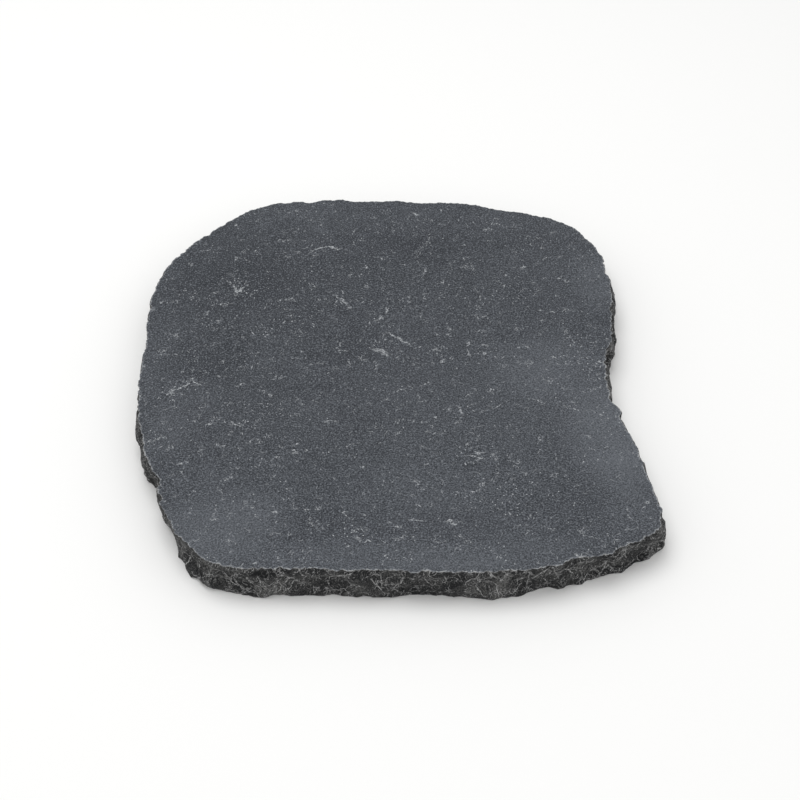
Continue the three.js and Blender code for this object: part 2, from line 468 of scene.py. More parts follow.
def add_face(slab, part, rim, row, spacing, draw):
    """Adds one flat face: a fine strip beside its edge, which is a row of the rim, and the rest."""
    edge = rim.reach[:, row]
    level = rim.wall[0, row, 2]
    inner = inner_ring(edge)
    band = rim.numbers[:, row]
    for share in STRIP_SHARES:
        distance = edge + (inner - edge) * share
        ring = rim.points + rim.outward * distance[:, None]
        next_band = slab.add_points(at_level(ring, level), edge - distance)
        slab.add_faces(part, grid_faces(np.column_stack([next_band, band])))
        band = next_band
    ring = (rim.points + rim.outward * (inner - RING_STEP)[:, None])[::RING_THINNING]
    inside, triangles = filled_ring(ring, spacing, draw)
    points = at_level(np.vstack([ring, inside]), level)
    numbers = slab.add_points(points, np.full(len(points), STRIP_DEPTH + RING_STEP))
    slab.add_faces(part, zipped_rings(band, numbers[: len(ring)]))
    slab.add_faces(part, numbers[triangles])


def sink_faces(places, gap, edge_wear, low, high):
    """Lets the faces sink a little in slow waves, and rounds them off beside the broken edge."""
    for level, way, scale in ((high[2], -1, 1.0), (low[2], 1, UNDERSIDE_WAVES)):
        chosen = np.isclose(places[:, 2], level)
        flat = places[chosen]
        waves = np.clip(rising(0.5, noise_at(flat, WAVES_SIZE, 2)), 0, 1)
        dimples = np.clip(noise_at(flat + 3 * ELSEWHERE, DIMPLES_SIZE), 0, 1)
        wear = edge_wear * np.exp(-gap[chosen] / WEAR_REACH) * rising(0.6, noise_at(flat, WEAR_SIZE))
        sink = scale * (WAVES * waves + DIMPLES * dimples) + np.clip(wear, 0, DEEPEST_WEAR)
        places[chosen, 2] += way * sink
    return np.clip(places, low, high)


def slab_mesh(shape, rim, low, high):
    """The whole slab: its faces by part, its places, and how far each is from the nearest edge."""
    draw = np.random.default_rng(shape.seed + 1)
    slab = SlabMesh()
    walked = np.cumsum(np.linalg.norm(np.diff(rim.wall, axis=1), axis=2), axis=1)
    walked = np.pad(walked, ((0, 0), (1, 0)))
    gap = np.minimum(walked, walked[:, -1:] - walked)
    rim.numbers = slab.add_points(rim.wall.reshape(-1, 3), gap.ravel()).reshape(gap.shape)
    slab.add_faces("rim", grid_faces(rim.numbers))
    add_face(slab, "top", rim, 0, shape.face_spacing / MM, draw)
    add_face(slab, "underside", rim, -1, shape.underside_spacing / MM, draw)
    gap = np.concatenate(slab.gaps)
    places = sink_faces(np.vstack(slab.places), gap, shape.edge_wear / MM, low, high)
    return slab.faces, places, gap


def map_islands(faces, places, rim, low):
    """Places on a square map: the top and underside lie flat on it, and the rim in long strips."""
    count, rows = rim.reach.shape
    station = np.repeat(np.arange(count), rows - 1)
    row = np.tile(np.arange(rows - 1), count)
    strip = station // (count // RIM_STRIPS)
    begins = strip * (count // RIM_STRIPS)
    step = rim.length / count * MAP_SCALE["rim"]
    corners = []
    for side, lower in ((0, 1), (1, 1), (1, 0), (0, 0)):
        x = MAP_MARGIN + (station + side - begins) * step
        y = RIM_STRIPS_FROM + strip * RIM_STRIP_STEP + rim.drops[row + lower] * MAP_SCALE["rim"]
        corners.append(np.column_stack([x, y]))
    islands = [np.stack(corners, axis=1).reshape(-1, 2)]
    for part, numbers in faces[1:]:
        flat = (places[numbers][..., :2] - low[:2]) * MAP_SCALE[part] + MAP_CORNER[part]
        islands.append(flat.reshape(-1, 2))
    return np.vstack(islands) / MAP_SIZE


def soft_spots(places, spots, gather):
    """How strong soft-edged oval spots are at each place of a face."""
    total = np.zeros(len(places))
    for x, y, length, width, turn, strength in spots:
        ahead = np.array([math.cos(math.radians(turn)), math.sin(math.radians(turn))])
        beside = np.array([-ahead[1], ahead[0]])
        off = places[:, :2] - (x, y)
        away = (off @ ahead / (length / 2)) ** 2 + (off @ beside / (width / 2)) ** 2
        total = gather(total, strength * eased(1 - away))
    return total


def placed(name, data):
    """A new object in the scene."""
    made = bpy.data.objects.new(name, data)
    bpy.context.collection.objects.link(made)
    return made


def build_slab(shape, finish):
    """Makes the dressed slab round the CAD solid and gives it its two materials."""
    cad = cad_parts[CAD_NODE].data
    corners = [Vector(v.co) / MM for v in cad.vertices]
    solid = BVHTree.FromPolygons(corners, [tuple(p.vertices) for p in cad.polygons])
    low, high = (np.array(c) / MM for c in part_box(CAD_NODE))
    rim = broken_rim(shape, solid, low, high)
    faces, places, gap = slab_mesh(shape, rim, low, high)

    # The finish reads these off the mesh. The ones of the rim are nought on the faces.
    beyond = len(places) - rim.reach.size
    marks = {name: np.pad(values.ravel(), (0, beyond)) for name, values in rim.finish.items()}
    marks["edge_gap"] = gap
    upper = places[:, 2] > high[2] / 2
    marks["paleness"] = soft_spots(places, PATCHES, np.add) * upper
    marks["crowding"] = soft_spots(places, FLURRIES, np.maximum) * upper

    mesh = bpy.data.meshes.new(PIECE)
    mesh.from_pydata((places * MM).tolist(), [], [f for _, block in faces for f in block.tolist()])
    for name, values in marks.items():
        mesh.attributes.new(name, "FLOAT", "POINT").data.foreach_set("value", values.astype(np.float32))
    uv = map_islands(faces, places, rim, low)
    mesh.uv_layers.new(name="OFBake").data.foreach_set("uv", uv.astype(np.float32).ravel())
    slots = np.concatenate([np.full(len(block), part == "rim", np.int32) for part, block in faces])
    mesh.polygons.foreach_set("material_index", slots)
    mesh.polygons.foreach_set("use_smooth", np.ones(len(slots), bool))
    mesh.materials.append(worn_limestone(finish))
    mesh.materials.append(split_limestone(finish))
    mesh.update()
    mesh.set_sharp_from_angle(angle=math.radians(42))
    if mesh.validate():
        raise RuntimeError("the slab's mesh had faults")
    return placed(PIECE, mesh)


# ---- Finish ----

ATTRIBUTE = "ShaderNodeAttribute"
CELLS = "ShaderNodeTexVoronoi"
JOIN = "ShaderNodeCombineXYZ"
MATH = "ShaderNodeMath"
MIX = "ShaderNodeMix"
NOISE = "ShaderNodeTexNoise"
RANGE = "ShaderNodeMapRange"  # fed with a value, the range that it comes from, and the one it goes to
SPLIT = "ShaderNodeSeparateXYZ"
VECTOR = "ShaderNodeVectorMath"

# The mix node's sockets go by number: its share, what it goes from and to, and what comes out.
SHARE = 0
FROM_VECTOR, TO_VECTOR, MIXED_VECTOR = 4, 5, 1
FROM_COLOUR, TO_COLOUR, MIXED_COLOUR = 6, 7, 2

# Layers of the stone's tone: what it is, the size of its lumps in millimetres, its detail and
# roughness, the part of the noise it uses, and how much it darkens (first) or lightens (second).
FACE_LAYERS = (
    ("clouds of lime mud", 80.0, 2.0, 0.5, 0.3, 0.7, -0.05, 0.05),
    ("mottling", 9.0, 3.0, 0.55, 0.3, 0.7, -0.05, 0.05),
    ("crystal grain", 1.2, 1.0, 0.6, 0.25, 0.75, -0.46, 0.46),
    ("crushed shell", 1.5, 1.0, 0.6, 0.58, 0.78, 0.0, 2.6),
)
RIM_LAYERS = (
    ("blotches", 16.0, 2.0, 0.5, 0.3, 0.7, -0.12, 0.12),
    ("crystal grain", 0.8, 1.0, 0.6, 0.25, 0.75, -0.38, 0.38),
)

# Feathery pale marks of the top, where shell and calcite show: place, length, width, turn in
# degrees, bend in half-widths, and strength.
MARKS = (
    (-171, -35, 30, 1.9, 33, -0.6, 0.9),
    (-178, -41, 12, 1.8, 52, 0, 0.7),
    (-161, -27, 11, 1.6, -35, 0, 0.8),
    (-163, -24, 10, 1.2, 70, 0, 0.7),
    (-158, -31, 8, 1.4, 10, 0, 0.7),
    (-139, 104, 28, 2.2, -57, 0.5, 0.8),
    (-132, 98, 14, 3.4, 50, 0, 1.0),
    (8, 29, 38, 2.8, -42, 0.6, 0.7),
    (-43, 84, 26, 3.2, -50, 0.4, 0.8),
    (-8, 14, 17, 5.6, -22, 1.0, 0.65),
    (-4, 8, 9, 3.4, -40, 0, 0.6),
    (71, -112, 11, 1.8, 4, 0, 0.9),
    (66, -117, 14, 1.3, -24, 0, 0.7),
    (71, -119, 9, 1.4, 20, 0, 0.7),
    (64, -107, 6, 2.4, 60, 0, 0.6),
    (-10, 56, 17, 1.8, 30, 0.6, 0.8),
    (-3, 68, 13, 1.8, 88, 0, 0.7),
    (-122, -80, 12, 2.6, -18, 0.8, 0.8),
    (31, 126, 13, 2.6, 80, 0, 0.8),
    (40, 14, 12, 2.4, 4, 1.2, 0.7),
    (66, 10, 11, 2.8, -76, 0, 0.7),
    (79, 10, 7, 3.2, -60, 0, 0.6),
    (22, 216, 13, 2.4, -42, 0, 0.8),
    (45, -187, 7, 2.2, 30, 0, 1.0),
    (48, -190, 7, 1.6, -40, 0, 0.8),
    (21, -186, 18, 1.3, -14, 0.8, 0.8),
    (-85, -178, 7, 2.0, -12, 0, 0.9),
    (-46, -75, 15, 1.4, -4, 1.4, 0.9),
    (-61, 162, 54, 2.0, 15, 19.2, 0.9),
    (-50, 160, 12, 1.8, -15, 0, 0.8),
    (57, -62, 13, 2.0, -70, 0.6, 0.7),
    (87, -58, 12, 1.1, 40, 0, 0.6),
    (-182, -96, 11, 1.8, 38, -0.8, 0.8),
    (-22, -206, 9, 3.0, -70, 1.0, 0.5),
    (-75, 38, 11, 1.6, -66, 0, 0.6),
    (140, -223, 10, 1.8, 12, 0, 0.7),
)

# Thin bruised lines of the front of the rim, where blows crossed. They are given as the marks are,
# but across the rim and up it.
RIM_MARKS = (
    (-149, 11, 22, 1.0, 63, 0, 0.9),
    (-132, 14, 11, 1.0, 51, -4.0, 1.0),
    (-138, 3, 10, 1.0, -84, 1.2, 0.8),
    (-113, 10, 27, 1.0, -28, -10.0, 0.8),
    (-101, 13, 14, 0.8, -42, -2.0, 0.8),
    (-93, 16, 14, 1.0, -81, 3.0, 0.9),
    (-86, 14, 10, 0.8, 18, -6.0, 0.8),
    (-79, 7, 14, 1.0, -121, 3.0, 0.8),
    (-72, 18, 20, 1.0, 54, 1.0, 0.9),
    (-35, 24, 36, 1.0, 27, 7.0, 1.0),
    (-8, 15, 24, 0.9, -56, 1.2, 0.8),
    (-5, 20, 20, 0.9, -86, 1.4, 0.8),
    (8, 16, 24, 1.0, -120, 2.0, 0.8),
    (24, 11, 13, 0.8, 8, 0, 0.8),
    (28, 18, 19, 0.9, -60, -6.0, 0.9),
    (48, 22, 15, 0.8, -31, 1.4, 0.7),
    (66, 9, 19, 1.0, -58, -3.4, 0.9),
    (79, 12, 24, 1.1, -78, 2.0, 1.0),
    (77, 8, 13, 0.8, 22, -3.8, 0.7),
    (94, 8, 18, 1.0, 61, -1.0, 0.9),
    (111, 22, 24, 1.0, 42, 0, 1.0),
    (117, 20, 12, 0.8, 75, -3.0, 0.8),
    (132, 19, 17, 1.0, -52, 0.8, 0.9),
    (138, 14, 16, 0.8, 14, 6.0, 0.7),
    (154, 19, 18, 1.0, 39, 0, 0.9),
    (160, 12, 11, 0.8, 35, -2.0, 0.7),
    (184, 25, 12, 1.0, 66, 2.0, 0.9),
    (195, 22, 10, 1.0, 40, 0, 0.8),
)

# Zones of the front of the rim that are crushed to pale grains, given as its lines are.
CRUSHED = (
    (-86, 6, 34, 15, -12, 0, 1.0),
    (82, 14, 13, 38, -14, 0, 0.9),
    (-22, 8, 16, 8, 0, 0, 0.4),
    (-132, 24, 16, 8, 20, 0, 0.5),
    (154, 12, 60, 9, 0, 0, 0.35),
    (70, 9, 70, 14, 0, 0, 0.22),
    (-85, 15, 70, 12, 0, 0, 0.3),
)

# Nets of fine cracks in the rim: the size of their cells, half the width of a crack, the size of the
# flurries that they show in, and the noise from which they do.
CRACKS = ((13.0, 0.32, 10.0, 0.45), (6.0, 0.22, 5.0, 0.53))

# Broad soft spots of the top that are paler, or darker, than the rest: place, length, width, turn
# in degrees, and how much they add to the tone.
PATCHES = (
    (182, -85, 150, 110, -75, 0.28),
    (130, -10, 130, 100, 0, 0.14),
    (-130, -195, 150, 90, 20, 0.24),
    (-20, -225, 260, 50, 0, 0.14),
    (100, -225, 160, 60, 10, 0.10),
    (-178, -90, 90, 50, 80, 0.10),
    (185, 110, 110, 60, 90, 0.16),
    (-66, 189, 22, 12, -20, 0.16),
    (-27, 212, 26, 10, 0, 0.12),
    (-140, 105, 130, 100, 30, -0.08),
    (-60, 120, 420, 200, -8, -0.09),
    (-150, 10, 90, 110, 0, -0.12),
    (-40, 15, 90, 60, 0, -0.07),
    (60, 170, 170, 70, 0, -0.06),
    (-145, -140, 60, 60, 0, 0.06),
    (20, -150, 260, 80, 0, 0.06),
    (178, -135, 70, 70, 0, 0.09),
    (160, -132, 70, 50, 0, 0.06),
    (188, -170, 70, 80, 60, 0.09),
    (128, -28, 60, 50, 0, 0.05),
    (-145, 55, 60, 50, 0, -0.05),
    (-97, 189, 60, 40, 20, -0.05),
    (-140, 62, 340, 70, -10, -0.03),
)

# Soft spots of the top where its flecks lie closer together, given as the patches are.
FLURRIES = (
    (-171, -32, 46, 26, 40, 1.0),
    (-4, 16, 46, 30, -20, 1.0),
    (-134, 102, 54, 34, -40, 0.9),
    (-41, 84, 54, 34, -20, 0.9),
    (67, -112, 42, 28, 0, 0.9),
    (-12, 55, 46, 28, -30, 0.8),
    (-184, -96, 34, 28, 0, 0.8),
    (-90, 48, 80, 50, 10, 0.7),
    (59, -67, 38, 28, 0, 0.8),
    (-123, -81, 36, 26, 0, 0.7),
    (-66, 116, 56, 36, 0, 0.7),
    (166, 2, 60, 90, 0, 0.7),
    (-22, -202, 44, 22, 0, 0.7),
    (50, 14, 76, 30, 0, 0.6),
    (19, 82, 46, 34, 0, 0.5),
    (90, -160, 110, 50, 0, 0.5),
)


def add_node(tree, kind, feeds, out=0, **settings):
    """Adds one shader node, and returns one of its outputs or, where out is None, all of them.

    The feeds are what its sockets are linked to or set to, in order or by name.
    """
    made = tree.nodes.new(kind)
    for name, value in settings.items():
        setattr(made, name, value)
    for name, value in feeds.items() if isinstance(feeds, dict) else enumerate(feeds):
        if isinstance(value, bpy.types.NodeSocket):
            tree.links.new(value, made.inputs[name])
        else:
            made.inputs[name].default_value = value
    return made.outputs if out is None else made.outputs[out]


def new_material(name, roughness, reflection):
    """A material with its shader set, a way to add nodes, and the stone's own place in millimetres."""
    material = bpy.data.materials.new(name)
    material.use_nodes = True
    tree = material.node_tree
    shader = tree.nodes["Principled BSDF"]
    shader.inputs["Roughness"].default_value = roughness
    shader.inputs["IOR"].default_value = 1.5
    shader.inputs["Specular IOR Level"].default_value = reflection
    add = partial(add_node, tree)
    own = add("ShaderNodeTexCoord", {}, "Object")
    place = add(VECTOR, [own, (1 / MM,) * 3], operation="MULTIPLY")
    return material, shader, add, place


def faded(add, value, guide, low, high, least=0.0, most=1.0):
    """A value times a share, which goes from least to most as the guide goes from low to high."""
    share = add(RANGE, [guide, low, high, least, most])
    return add(MATH, [value, share], operation="MULTIPLY")


def layered_tone(add, place, start, layers):
    """The stone's tone from dark to pale, built up from noise of each layer's size."""
    tone = start
    for _, size, detail, rough, low, high, darker, paler in layers:
        lumps = add(NOISE, {"Vector": place, "Scale": 1 / size, "Detail": detail, "Roughness": rough})
        tone = add(MATH, [tone, add(RANGE, [lumps, low, high, darker, paler])], operation="ADD")
    return tone


def drawn_marks(add, place, marks):
    """Soft-ended strokes laid on the face, the strongest showing where they meet."""
    drawn = 0.0
    for x, y, length, width, turn, bend, strength in marks:
        oval = {
            "Vector": place,
            "Location": (x, y, 0),
            "Rotation": (0, 0, math.radians(turn)),
            "Scale": (length / 2, width / 2, 1),
        }
        stroke = add("ShaderNodeMapping", oval, vector_type="TEXTURE")
        along, aside, _ = add(SPLIT, [stroke], None)
        ahead = add(MATH, [along, along], operation="MULTIPLY")
        side = add(MATH, [ahead, bend, aside], operation="MULTIPLY_ADD")
        away = add(MATH, [side, side, ahead], operation="MULTIPLY_ADD")
        ink = add(RANGE, [away, 0.0, 1.0, strength, 0.0], interpolation_type="SMOOTHSTEP")
        drawn = add(MATH, [drawn, ink], operation="MAXIMUM")
    return drawn


def thin_lines(add, place, size, half_width):
    """Hair-thin curved lines, where noise of that size crosses its middle value."""
    lumps = add(NOISE, {"Vector": place, "Scale": 1 / size, "Detail": 3.0, "Roughness": 0.6})
    level = add(MATH, [lumps, 0.5], operation="SUBTRACT")
    level = add(MATH, [level], operation="ABSOLUTE")
    return add(RANGE, [level, 0.0, half_width, 1.0, 0.0])


def scattered_flecks(add, place, crowd, spacing, half, strength, way, spread):
    """Small oval flecks, at most one in each cell. Crowd says how many cells have one.

    They lie at an angle of way to the first axis, or up to spread more, both in radians.
    """
    cells = add(CELLS, {"Vector": place, "Scale": 1 / spacing}, None, voronoi_dimensions="2D")
    chance = add("ShaderNodeSeparateColor", [cells["Color"]], None)
    away = add(VECTOR, [place, cells["Position"]], operation="SUBTRACT")
    turn = add(MATH, [chance[0], spread, way], operation="MULTIPLY_ADD")
    away = add("ShaderNodeVectorRotate", {"Vector": away, "Angle": turn}, rotation_type="Z_AXIS")
    away = add(VECTOR, [away, (1 / half[0], 1 / half[1], 0.0)], operation="MULTIPLY")
    away = add(VECTOR, [away], "Value", operation="LENGTH")
    grown = add(RANGE, [chance[1], 0.0, 1.0, 0.5, 1.25])
    ink = add(MATH, [away, grown], operation="DIVIDE")
    ink = add(RANGE, [ink, 0.55, 1.15, strength, 0.0])
    shown = add(MATH, [chance[2], crowd], operation="ADD")
    return faded(add, ink, shown, 0.98, 1.25)


def wobbled(add, place, drawing, roughness, amount):
    """Where a drawing lies, moved to and fro by noise of four millimetres, by up to half the amount."""
    lumps = {"Vector": place, "Scale": 1 / 4.0, "Detail": 3.0, "Roughness": roughness}
    wobble = add(VECTOR, [add(NOISE, lumps, "Color"), (0.5,) * 3], operation="SUBTRACT")
    return add(VECTOR, [wobble, amount, drawing], operation="MULTIPLY_ADD")


def rubbed_edge(add, place, strength):
    """A pale, ragged line along the very edge, nearly a millimetre wide, that comes and goes."""
    gap = add(ATTRIBUTE, {}, "Fac", attribute_name="edge_gap")
    ragged = add(NOISE, {"Vector": place, "Scale": 1 / 1.6, "Detail": 3.0})
    ragged = add(MATH, [gap, add(RANGE, [ragged, 0.3, 0.7, -0.6, 0.8])], operation="ADD")
    line = add(RANGE, [ragged, 0.1, 1.0, 1.0, 0.0])
    rubbed = add(NOISE, {"Vector": place, "Scale": 1 / 9.0, "Detail": 2.0})
    return faded(add, line, rubbed, 0.36, 0.52, 0.45 * strength, strength)


def painted(material, shader, add, tone, colours, marks, relief, depth):
    """Gives the shader a colour, from dark to pale by the tone with marks over it, and a bump."""
    dark, pale, mark = ((*colour, 1) for colour in colours)
    ground = {SHARE: tone, FROM_COLOUR: dark, TO_COLOUR: pale}
    ground = add(MIX, ground, MIXED_COLOUR, data_type="RGBA")
    marked = {SHARE: marks, FROM_COLOUR: ground, TO_COLOUR: mark}
    marked = add(MIX, marked, MIXED_COLOUR, data_type="RGBA")
    bump = add("ShaderNodeBump", {"Height": relief, "Strength": 1.0, "Distance": depth * MM})
    material.node_tree.links.new(marked, shader.inputs["Base Color"])
    material.node_tree.links.new(bump, shader.inputs["Normal"])
    return material


def worn_limestone(finish):
    """Limestone, dense and dark, worn smooth by sawing and tumbling.

    It gives the eye a matt blue-grey ground with slow clouds, a tight salt-and-pepper grain, pale
    flecks of shell and feathery hair-thin marks, with no gloss.
    """
    material, shader, add, place = new_material("Limestone, tumbled", 0.82, 0.25)

    # The underside has the same finish, but no drawn marks and none of the top's flecks.
    upper = add(RANGE, [add(SPLIT, [place], "Z"), 10.0, 20.0])
    aside = add(VECTOR, [(500.0, 300.0, 0.0), place], operation="ADD")
    side = {SHARE: upper, FROM_VECTOR: aside, TO_VECTOR: place}
    place = add(MIX, side, MIXED_VECTOR, data_type="VECTOR")

    tone = layered_tone(add, place, 0.24, FACE_LAYERS)
    paleness = add(ATTRIBUTE, {}, "Fac", attribute_name="paleness")
    tone = add(MATH, [tone, paleness], operation="ADD")

    drift, flurry, breaks, grit = (
        add(NOISE, {"Vector": place, "Scale": 1 / size, "Detail": detail})
        for size, detail in ((22.0, 2.0), (8.0, 2.0), (1.7, 2.0), (1.3, 1.0))
    )

    # Flecks, round and long, crowd together in FLURRIES and in drifts about 22 mm across.
    crowd = add(ATTRIBUTE, {}, "Fac", attribute_name="crowding")
    crowd = add(RANGE, [crowd, 0.0, 1.0, 0.1, 0.55])
    crowd = add(MATH, [crowd, add(RANGE, [drift, 0.35, 0.65, -0.1, 0.2])], operation="ADD")
    lie = {"way": 0.4, "spread": 2.3}
    dots = scattered_flecks(add, place, crowd, spacing=3.6, half=(0.56, 0.5), strength=1.2, **lie)
    dashes = scattered_flecks(add, place, crowd, spacing=7.4, half=(1.8, 0.42), strength=0.9, **lie)
    flecks = add(MATH, [dots, dashes], operation="MAXIMUM")

    # Hairs come in flurries of about 8 mm. The drawn marks are bent, and broken every 2 mm or so.
    hairs = faded(add, thin_lines(add, place, size=13.0, half_width=0.014), flurry, 0.55, 0.65)
    bent = wobbled(add, place, place, roughness=0.65, amount=(8.0,) * 3)
    feathers = faded(add, drawn_marks(add, bent, MARKS), breaks, 0.36, 0.56, 0.35, 1.2)
    lines = add(MATH, [hairs, feathers], operation="MAXIMUM")
    lines = faded(add, lines, grit, 0.38, 0.56, 0.2, 1.4)

    marks = add(MATH, [flecks, lines], operation="MAXIMUM")
    marks = add(MATH, [marks, 0.8], operation="MULTIPLY")
    marks = add(MATH, [marks, rubbed_edge(add, place, 0.55)], operation="MAXIMUM")
    colours = finish.face_dark, finish.face_pale, finish.fleck
    return painted(material, shader, add, tone, colours, marks, relief=tone, depth=0.12)


def split_limestone(finish):
    """The same limestone, freshly split by hammer blows.

    It gives the eye near-black shell-shaped scars, each with a fan of fine torn lines, and thin pale,
    chalky bruises where the ridges between them are crushed. The near-black is partly the fresh split's
    own darker colour and partly painted shade of the rim's upright sides.
    """
    material, shader, add, place = new_material("Limestone, hammer-split", 0.75, 0.2)
    tone = layered_tone(add, place, 0.08, RIM_LAYERS)
    seam, nick, torn, turn, reach, crest, way = (
        add(ATTRIBUTE, {}, "Fac", attribute_name=name)
        for name in ("seam", "nick", "torn", "fan_turn", "fan_reach", "crest", "way")
    )
    patchy, ragged, grit, lie = (
        add(NOISE, {"Vector": place, "Scale": 1 / size, "Detail": detail})
        for size, detail in ((9.0, 2.0), (1.8, 2.0), (1.1, 1.0), (24.0, 0.0))
    )

    # The hackle lines run out from each blow, about a millimetre apart and a few long.
    reach = add(MATH, [reach, 1 / 5.0], operation="MULTIPLY")
    fan = {"Vector": add(JOIN, [turn, reach, 0.0]), "Scale": 1.0, "Detail": 3.0, "Roughness": 0.65}
    hackle = add(NOISE, fan)
    tone = add(MATH, [tone, add(RANGE, [torn, 0.0, 1.0, -0.07, 0.1])], operation="ADD")
    pale = faded(add, add(RANGE, [hackle, 0.53, 0.66, 0.0, 1.0]), torn, 0.25, 0.8, 0.1, 1.0)
    tone = add(MATH, [tone, pale], operation="ADD")

    # What is drawn on the front lies on the upright plane across it, and stops behind it.
    across, depth, height = add(SPLIT, [place], None)
    front = add(RANGE, [depth, -150.0, -120.0, 1.0, 0.0])
    flat = add(JOIN, [across, height, 0.0])
    flat = wobbled(add, place, flat, roughness=0.5, amount=(3.0, 3.0, 0.0))
    crushed = add(MATH, [drawn_marks(add, flat, CRUSHED), front], operation="MULTIPLY")
    crushed = faded(add, crushed, grit, 0.42, 0.58, 0.1, 1.5)
    tone = add(MATH, [tone, crushed], operation="ADD")
    drawn = add(MATH, [drawn_marks(add, flat, RIM_MARKS), front], operation="MULTIPLY")

    # Some ridges are bruised pale and some are not. The line thins out and breaks along its way.
    seam, nick = (
        add(RANGE, [add(MATH, [lead], operation="ABSOLUTE"), 0.0, half_width, strength, 0.0])
        for lead, half_width, strength in ((seam, 0.5, 0.9), (nick, 0.4, 0.7))
    )
    ridge = add(MATH, [seam, nick], operation="MAXIMUM")
    ridge = faded(add, ridge, ragged, 0.35, 0.55, 0.3, 1.0)
    ridge = faded(add, ridge, patchy, 0.44, 0.6, 0.1, 1.0)
    crest = faded(add, add(RANGE, [crest, 0.16, 0.36, 0.0, 0.35]), ragged, 0.4, 0.6)

    wobble = add(NOISE, {"Vector": place, "Scale": 1 / 5.0, "Detail": 2.0}, "Color")
    bent = add(VECTOR, [wobble, (5.5,) * 3, place], operation="MULTIPLY_ADD")
    for size, half_width, flurry_size, least in CRACKS:
        apart = add(CELLS, {"Vector": bent, "Scale": 1 / size}, feature="DISTANCE_TO_EDGE")
        crack = add(RANGE, [apart, 0.0, half_width / size, 0.85, 0.0])
        flurry = add(NOISE, {"Vector": place, "Scale": 1 / flurry_size, "Detail": 2.0})
        crack = faded(add, crack, flurry, least, least + 0.1)
        drawn = add(MATH, [drawn, crack], operation="MAXIMUM")

    # Short torn dashes lie close together in places, all much the same way there.
    round_rim = add(JOIN, [way, height, 0.0])
    lie = {"way": add(RANGE, [lie, 0.25, 0.75, 0.0, 2 * math.pi]), "spread": 0.35}
    crowd = add(RANGE, [patchy, 0.38, 0.62, 0.0, 1.1])
    dashes = scattered_flecks(add, round_rim, crowd, spacing=2.3, half=(2.2, 0.25), strength=0.6, **lie)

    marks = ridge
    for line in (crest, drawn, dashes):
        marks = add(MATH, [marks, line], operation="MAXIMUM")
    marks = faded(add, marks, grit, 0.38, 0.56, 0.25, 1.2)
    marks = add(MATH, [marks, rubbed_edge(add, place, 0.95)], operation="MAXIMUM")
    relief = add(MATH, [hackle, 0.6, tone], operation="MULTIPLY_ADD")
    # The split's dark and pale carry painted shade of the rim's upright sides, on top of the fresh
    # split's own darker colour.
    colours = finish.split_dark_shaded, finish.split_pale_shaded, finish.bruise
    return painted(material, shader, add, tone, colours, marks, relief, depth=0.16)


# ---- Stage ----

# Soft round lights: their places and widths, in metres.
LIGHTS = {"overhead": ((-0.5, 0.3, 2.3), 1.8), "front": ((0.9, -2.2, 1.5), 1.6)}


def pointed(name, data, place, way):
    """Puts a light or a camera in the scene, pointed that way."""
    made = placed(name, data)
    made.location = place
    made.rotation_mode = "QUATERNION"
    made.rotation_quaternion = way.to_track_quat("-Z", "Y")
    return made


def build_stage(stage):
    """A pale floor, soft light from above and the camera."""
    material = bpy.data.materials.new("Floor, matt white")
    material.use_nodes = True
    paint = material.node_tree.nodes["Principled BSDF"]
    paint.inputs["Base Color"].default_value = (*stage.floor_colour, 1)
    paint.inputs["Roughness"].default_value = 0.95
    paint.inputs["Specular IOR Level"].default_value = 0.1
    mesh = bpy.data.meshes.new("floor")
    half = stage.floor_size / 2
    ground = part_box(CAD_NODE)[0].z
    corners = [(x * half, y * half, ground) for x, y in ((-1, -1), (1, -1), (1, 1), (-1, 1))]
    mesh.from_pydata(corners, [], [(0, 1, 2, 3)])
    mesh.materials.append(material)
    floor = placed("floor", mesh)

    world = bpy.data.worlds.new("studio")
    world.use_nodes = True
    background = world.node_tree.nodes["Background"]
    background.inputs["Color"].default_value = (1, 1, 1, 1)
    background.inputs["Strength"].default_value = stage.ambient
    bpy.context.scene.world = world

    aim = Vector(stage.aim)
    for name, (place, width) in LIGHTS.items():
        lamp = bpy.data.lights.new(name, "AREA")
        lamp.shape = "DISK"
        lamp.size = width
        lamp.energy = getattr(stage, f"{name}_power")
        pointed(name, lamp, place, aim - Vector(place))

    camera = bpy.data.cameras.new("camera")
    camera.sensor_width = 36.0
    camera.lens = stage.lens
    back = Vector((0, -math.cos(stage.elevation), math.sin(stage.elevation)))
    bpy.context.scene.camera = pointed("camera", camera, aim + back * stage.distance, -back)
    bpy.context.scene.view_settings.view_transform = "Standard"


# ---- Add-on ----

LENGTH = {"unit": "LENGTH", "precision": 5}
FACTOR = {"subtype": "FACTOR", "min": 0.0, "max": 2.0}
COLOUR = {"subtype": "COLOR", "min": 0, "max": 1}


class StoneShape(bpy.types.PropertyGroup):
    rim_spacing: bpy.props.FloatProperty(
        name="Rim mesh spacing",
        description="Distance between the mesh's stations round the rim",
        default=1.0 * MM,
        min=0.8 * MM,
        **LENGTH,
    )
    face_spacing: bpy.props.FloatProperty(
        name="Top mesh spacing",
        description="Distance between the mesh's points on the top",
        default=3.6 * MM,
        min=2.0 * MM,
        **LENGTH,
    )
    underside_spacing: bpy.props.FloatProperty(
        name="Underside mesh spacing",
        description="Distance between the mesh's points on the underside",
        default=5.5 * MM,
        min=2.0 * MM,
        **LENGTH,
    )
    scar_depth: bpy.props.FloatProperty(
        name="Scar depth",
        description="Depth of the small scars of the broken rim, against their usual depth",
        default=1.0,
        **FACTOR,
    )
    chip_depth: bpy.props.FloatProperty(
        name="Chip depth",
        description="Depth of the chips along the two edges, against their usual depth",
        default=1.0,
        **FACTOR,
    )
    edge_wear: bpy.props.FloatProperty(
        name="Edge wear",
        description="How far the very edge of each face is rubbed down",
        default=0.3 * MM,
        min=0.0,
        max=0.4 * MM,
        **LENGTH,
    )
    seed: bpy.props.IntProperty(
        name="Seed",
        description="Which set of scars and chips the rim gets",
        default=11,
        min=0,
    )


